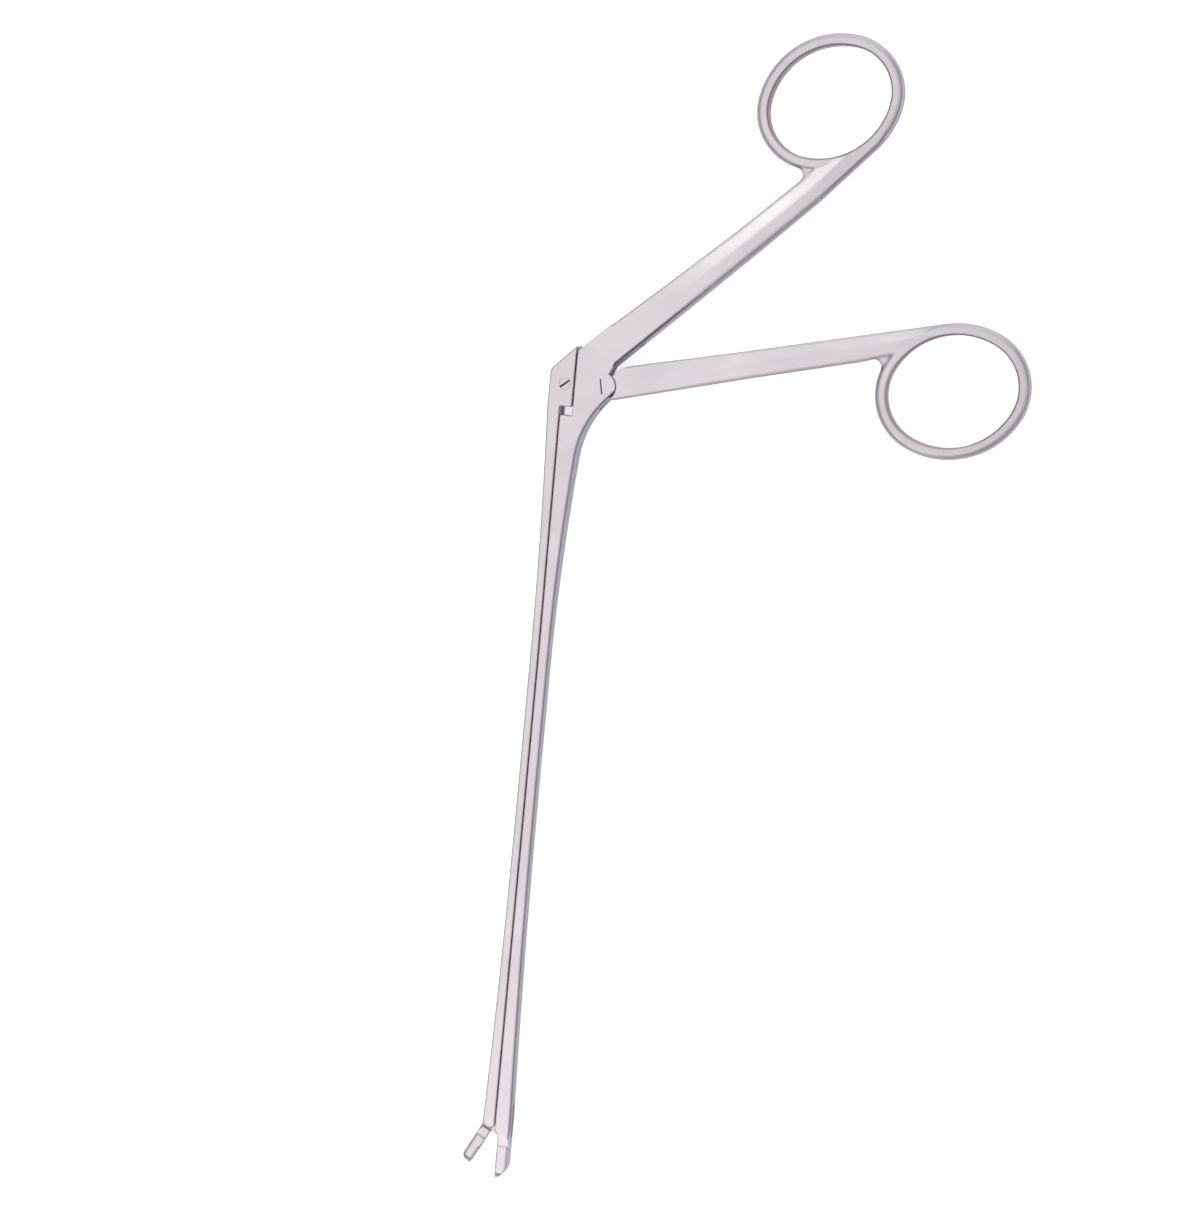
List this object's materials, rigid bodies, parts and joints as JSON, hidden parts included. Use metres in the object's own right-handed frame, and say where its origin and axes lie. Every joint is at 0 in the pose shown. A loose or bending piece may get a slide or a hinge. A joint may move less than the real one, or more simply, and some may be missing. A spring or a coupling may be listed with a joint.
{
  "type": "pituitary rongeur",
  "caption": "Ring-handled surgical rongeur with a long straight sliding shaft and a small hinged cup jaw, shown open.",
  "frame": {"origin": "axis of the handle pivot, on the lower flat cheek that the instrument lies on", "axes": "+Z is the thickness, out of the cheek that carries the screw heads; +Y runs from the jaws back along the shaft; +X points from the shaft towards the finger ring"},
  "size_m": [0.115, 0.2741, 0.0065],
  "materials": {
    "satin_steel": "satin, bead blasted",
    "jaw_steel": "fine satin, brighter cutting edge",
    "screw_steel": "ground flush with the cheek",
    "pin_steel": "ground flush with the shaft"
  },
  "bodies": {
    "frame": {"thumb_handle_frame": "satin_steel", "main_pivot_screw": "screw_steel", "jaw_pivot_pin": "pin_steel"},
    "finger_handle": {"finger_handle": "satin_steel"},
    "slide": {"slide": "satin_steel", "slide_screw": "screw_steel", "jaw_drive_pin": "pin_steel"},
    "upper_jaw": {"upper_jaw": "jaw_steel"}
  },
  "joints": [
    {"name": "handle_pivot", "type": "hinge", "parent": "frame", "child": "finger_handle", "pos_m": [0, 0, 0], "axis": [0, 0, 1], "range_deg": [0, 11.43]},
    {"name": "slide_travel", "type": "slide", "parent": "frame", "child": "slide", "axis": [0, -1, 0], "range_m": [0, 0.00175]},
    {"name": "jaw_pivot", "type": "hinge", "parent": "frame", "child": "upper_jaw", "pos_m": [-0.0071, -0.1739, 0], "axis": [0, 0, 1], "range_deg": [0, 28.01]}
  ],
  "couplings": [
    {"joint": "slide_travel", "follows": "handle_pivot", "m_per_rad": 0.0087497},
    {"joint": "jaw_pivot", "follows": "handle_pivot", "ratio": 2.4499}
  ]
}
